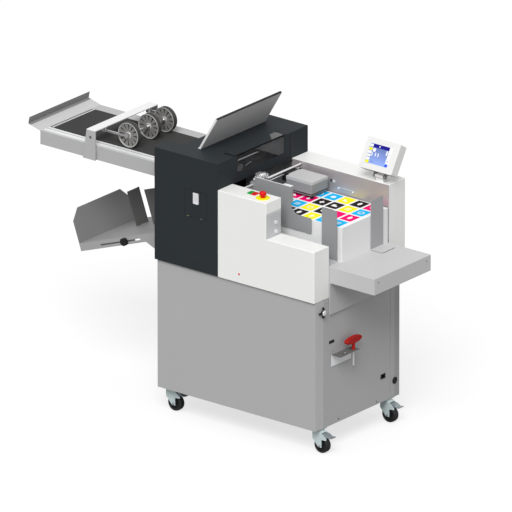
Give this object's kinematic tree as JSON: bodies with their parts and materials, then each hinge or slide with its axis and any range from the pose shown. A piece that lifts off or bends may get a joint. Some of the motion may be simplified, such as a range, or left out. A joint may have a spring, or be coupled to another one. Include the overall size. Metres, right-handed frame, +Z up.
{
  "type": "paper folding machine",
  "caption": "Floor-standing paper creasing and folding machine on a castered cabinet, with pile feed table, delivery belt, tray and control display.",
  "frame": {"origin": "middle of the footprint on the floor, under the casters", "axes": "+Z up, +X to the feed table end, -Y to the operator side"},
  "size_m": [1.969, 0.649, 1.4197],
  "materials": {
    "cabinet_grey": "fine satin paint",
    "tower_black": "satin paint",
    "housing_white": "satin paint",
    "light_grey": "satin paint",
    "sheet_grey": "satin paint",
    "bare_steel": "brushed",
    "zinc": "bright zinc",
    "chrome": "polished",
    "caster_tyre": "matt",
    "press_wheel": "satin grey",
    "roller_rubber": "ground",
    "belt": "matt",
    "smoked": "smoked clear",
    "paper": "coated paper with printed squares on top",
    "display_white": "fine texture",
    "green_key": "gloss",
    "red_key": "gloss",
    "tool_red": "gloss",
    "yellow_disc": "satin",
    "black_plastic": "satin",
    "silver_key": "satin"
  },
  "bodies": {
    "machine": {"cabinet_shell": "cabinet_grey", "side_panel": "cabinet_grey", "power_inlet": "black_plastic", "cover_front": "tower_black", "cover_top": "tower_black", "cover_right": "tower_black", "cover_left": "tower_black", "inner_frame": "bare_steel", "front_housing": "housing_white", "estop_disc": "yellow_disc", "rear_housing": "housing_white", "guide_rods": "chrome", "feed_head": "light_grey", "conveyor_frame": "light_grey", "conveyor_belt": "belt", "end_flap": "light_grey", "tray": "sheet_grey"},
    "door": {"cabinet_door": "cabinet_grey"},
    "latch": {"wing_latch": "bare_steel"},
    "tool": {"adjusting_tool": "tool_red"},
    "hatch": {"access_hatch": "tower_black"},
    "paddle": {"paddle_latch": "bare_steel"},
    "window": {"window_lid": "smoked"},
    "lid": {"top_lid": "sheet_grey"},
    "upper_roller": {"feed_roller_upper": "roller_rubber"},
    "lower_roller": {"feed_roller_lower": "roller_rubber"},
    "crease": {"crease_beam": "bare_steel"},
    "start": {"start_key": "green_key"},
    "stop": {"stop_key": "red_key"},
    "estop": {"estop_button": "red_key"},
    "side_upper": {"side_key_upper": "silver_key"},
    "side_lower": {"side_key_lower": "silver_key"},
    "screen": {"display": "display_white"},
    "table": {"pile_table": "light_grey", "lift_carriage": "light_grey", "paper_stack": "paper"},
    "stop_side": {"side_stop": "sheet_grey"},
    "stop_end": {"end_stop": "sheet_grey"},
    "guide": {"side_guide": "sheet_grey"},
    "clamp": {"clamp_knob": "bare_steel"},
    "drum": {"conveyor_drum": "bare_steel"},
    "bridge": {"bridge_frame": "light_grey"},
    "arm": {"press_arm": "bare_steel"},
    "press_1": {"press_wheel_1": "press_wheel"},
    "press_2": {"press_wheel_2": "press_wheel"},
    "press_3": {"press_wheel_3": "press_wheel"},
    "gate": {"tray_gate": "sheet_grey"},
    "knob": {"gate_knob": "black_plastic"},
    "swivel_front_left": {"caster_fork_front_left": "zinc"},
    "wheel_front_left": {"caster_wheel_front_left": "caster_tyre"},
    "brake_front_left": {"caster_brake_front_left": "zinc"},
    "swivel_front_right": {"caster_fork_front_right": "zinc"},
    "wheel_front_right": {"caster_wheel_front_right": "caster_tyre"},
    "brake_front_right": {"caster_brake_front_right": "zinc"},
    "swivel_rear_left": {"caster_fork_rear_left": "zinc"},
    "wheel_rear_left": {"caster_wheel_rear_left": "caster_tyre"},
    "brake_rear_left": {"caster_brake_rear_left": "zinc"},
    "swivel_rear_right": {"caster_fork_rear_right": "zinc"},
    "wheel_rear_right": {"caster_wheel_rear_right": "caster_tyre"},
    "brake_rear_right": {"caster_brake_rear_right": "zinc"}
  },
  "joints": [
    {"name": "door_hinge", "type": "hinge", "parent": "machine", "child": "door", "pos_m": [-0.1705, -0.2525, 0.418], "axis": [0, 0, 1], "range_deg": [-110, 0]},
    {"name": "latch_turn", "type": "hinge", "parent": "door", "child": "latch", "pos_m": [0.7295, -0.263, 0.665], "axis": [1, 0, 0], "range_deg": [0, 90]},
    {"name": "hatch_hinge", "type": "hinge", "parent": "machine", "child": "hatch", "pos_m": [0.0575, -0.322, 0.975], "axis": [1, 0, 0], "range_deg": [0, 95]},
    {"name": "paddle_pull", "type": "hinge", "parent": "hatch", "child": "paddle", "pos_m": [0.0615, -0.3244, 1.088], "axis": [-1, 0, 0], "range_deg": [0, 25], "stiffness_Nm_per_rad": 0.05, "springref_deg": -11.46},
    {"name": "window_hinge", "type": "hinge", "parent": "machine", "child": "window", "pos_m": [0.1265, -0.013, 1.2555], "axis": [0, -1, 0], "range_deg": [0, 95]},
    {"name": "lid_hinge", "type": "hinge", "parent": "machine", "child": "lid", "pos_m": [-0.0031, 0.0065, 1.2591], "axis": [0, 1, 0], "range_deg": [-120, 0]},
    {"name": "table_lift", "type": "slide", "parent": "machine", "child": "table", "axis": [0, 0, 1], "range_m": [-0.06, 0]},
    {"name": "side_stop_slide", "type": "slide", "parent": "table", "child": "stop_side", "axis": [0, -1, 0], "range_m": [0, 0.02]},
    {"name": "end_stop_slide", "type": "slide", "parent": "table", "child": "stop_end", "axis": [1, 0, 0], "range_m": [0, 0.15]},
    {"name": "guide_slide", "type": "slide", "parent": "machine", "child": "guide", "axis": [0, -1, 0], "range_m": [0, 0.05]},
    {"name": "clamp_turn", "type": "hinge", "parent": "guide", "child": "clamp", "pos_m": [0.2365, -0.075, 1.15], "axis": [0, 0, 1], "range_deg": [-60, 60]},
    {"name": "bridge_slide", "type": "slide", "parent": "machine", "child": "bridge", "axis": [1, 0, 0], "range_m": [-0.15, 0.12]},
    {"name": "arm_lift", "type": "hinge", "parent": "bridge", "child": "arm", "pos_m": [-0.6015, 0.003, 1.188], "axis": [0, -1, 0], "range_deg": [0, 12]},
    {"name": "press_spin_1", "type": "hinge", "parent": "arm", "child": "press_1", "pos_m": [-0.4675, -0.136, 1.1911], "axis": [0, 1, 0], "continuous": true},
    {"name": "press_spin_2", "type": "hinge", "parent": "arm", "child": "press_2", "pos_m": [-0.4675, 0.007, 1.1911], "axis": [0, 1, 0], "continuous": true},
    {"name": "press_spin_3", "type": "hinge", "parent": "arm", "child": "press_3", "pos_m": [-0.4675, 0.117, 1.1911], "axis": [0, 1, 0], "continuous": true},
    {"name": "drum_spin", "type": "hinge", "parent": "machine", "child": "drum", "pos_m": [-0.8655, -0.004, 1.1077], "axis": [0, 1, 0], "continuous": true},
    {"name": "gate_slide", "type": "slide", "parent": "machine", "child": "gate", "axis": [0.9421, 0, 0.3355], "range_m": [-0.09, 0.08]},
    {"name": "knob_turn", "type": "hinge", "parent": "gate", "child": "knob", "pos_m": [-0.43928, -0.213, 0.70962], "axis": [0, 1, 0], "range_deg": [-180, 180]},
    {"name": "display_tilt", "type": "hinge", "parent": "machine", "child": "screen", "pos_m": [0.6745, 0.21538, 1.15736], "axis": [1, 0, 0], "range_deg": [-20, 20]},
    {"name": "estop_push", "type": "slide", "parent": "machine", "child": "estop", "axis": [0, 0, -1], "range_m": [0, 0.006], "stiffness_N_per_m": 400, "springref_m": -0.004},
    {"name": "start_push", "type": "slide", "parent": "machine", "child": "start", "axis": [0, 0, -1], "range_m": [0, 0.003], "stiffness_N_per_m": 300, "springref_m": -0.002},
    {"name": "stop_push", "type": "slide", "parent": "machine", "child": "stop", "axis": [0, 0, -1], "range_m": [0, 0.003], "stiffness_N_per_m": 300, "springref_m": -0.002},
    {"name": "side_upper_push", "type": "slide", "parent": "machine", "child": "side_upper", "axis": [-1, 0, 0], "range_m": [0, 0.003], "stiffness_N_per_m": 300, "springref_m": -0.002},
    {"name": "side_lower_push", "type": "slide", "parent": "machine", "child": "side_lower", "axis": [-1, 0, 0], "range_m": [0, 0.003], "stiffness_N_per_m": 300, "springref_m": -0.002},
    {"name": "crease_stroke", "type": "slide", "parent": "machine", "child": "crease", "axis": [0, 0, -1], "range_m": [0, 0.012], "stiffness_N_per_m": 2500, "springref_m": -0.02},
    {"name": "upper_roller_spin", "type": "hinge", "parent": "machine", "child": "upper_roller", "pos_m": [0.1385, -0.004, 1.188], "axis": [0, 1, 0], "continuous": true},
    {"name": "lower_roller_spin", "type": "hinge", "parent": "machine", "child": "lower_roller", "pos_m": [0.1385, -0.004, 1.1436], "axis": [0, 1, 0], "continuous": true},
    {"name": "tool_lift", "type": "slide", "parent": "machine", "child": "tool", "axis": [0, 0, 1], "range_m": [0, 0.1]},
    {"name": "brake_front_left_press", "type": "hinge", "parent": "swivel_front_left", "child": "brake_front_left", "pos_m": [-0.1175, -0.255, 0.088], "axis": [0, 1, 0], "range_deg": [0, 8], "stiffness_Nm_per_rad": 0.5, "springref_deg": -17.19},
    {"name": "brake_front_right_press", "type": "hinge", "parent": "swivel_front_right", "child": "brake_front_right", "pos_m": [0.7155, -0.255, 0.088], "axis": [0, 1, 0], "range_deg": [0, 8], "stiffness_Nm_per_rad": 0.5, "springref_deg": -17.19},
    {"name": "brake_rear_left_press", "type": "hinge", "parent": "swivel_rear_left", "child": "brake_rear_left", "pos_m": [-0.1175, 0.229, 0.088], "axis": [0, 1, 0], "range_deg": [0, 8], "stiffness_Nm_per_rad": 0.5, "springref_deg": -17.19},
    {"name": "brake_rear_right_press", "type": "hinge", "parent": "swivel_rear_right", "child": "brake_rear_right", "pos_m": [0.7155, 0.229, 0.088], "axis": [0, 1, 0], "range_deg": [0, 8], "stiffness_Nm_per_rad": 0.5, "springref_deg": -17.19},
    {"name": "caster_front_left_swivel", "type": "hinge", "parent": "machine", "child": "swivel_front_left", "pos_m": [-0.1355, -0.255, 0.1], "axis": [0, 0, 1], "continuous": true},
    {"name": "caster_front_left_roll", "type": "hinge", "parent": "swivel_front_left", "child": "wheel_front_left", "pos_m": [-0.1075, -0.255, 0.0375], "axis": [0, 1, 0], "continuous": true},
    {"name": "caster_front_right_swivel", "type": "hinge", "parent": "machine", "child": "swivel_front_right", "pos_m": [0.6975, -0.255, 0.1], "axis": [0, 0, 1], "continuous": true},
    {"name": "caster_front_right_roll", "type": "hinge", "parent": "swivel_front_right", "child": "wheel_front_right", "pos_m": [0.7255, -0.255, 0.0375], "axis": [0, 1, 0], "continuous": true},
    {"name": "caster_rear_left_swivel", "type": "hinge", "parent": "machine", "child": "swivel_rear_left", "pos_m": [-0.1355, 0.229, 0.1], "axis": [0, 0, 1], "continuous": true},
    {"name": "caster_rear_left_roll", "type": "hinge", "parent": "swivel_rear_left", "child": "wheel_rear_left", "pos_m": [-0.1075, 0.229, 0.0375], "axis": [0, 1, 0], "continuous": true},
    {"name": "caster_rear_right_swivel", "type": "hinge", "parent": "machine", "child": "swivel_rear_right", "pos_m": [0.6975, 0.229, 0.1], "axis": [0, 0, 1], "continuous": true},
    {"name": "caster_rear_right_roll", "type": "hinge", "parent": "swivel_rear_right", "child": "wheel_rear_right", "pos_m": [0.7255, 0.229, 0.0375], "axis": [0, 1, 0], "continuous": true}
  ],
  "couplings": [
    {"joint": "lower_roller_spin", "follows": "upper_roller_spin", "ratio": -1}
  ]
}
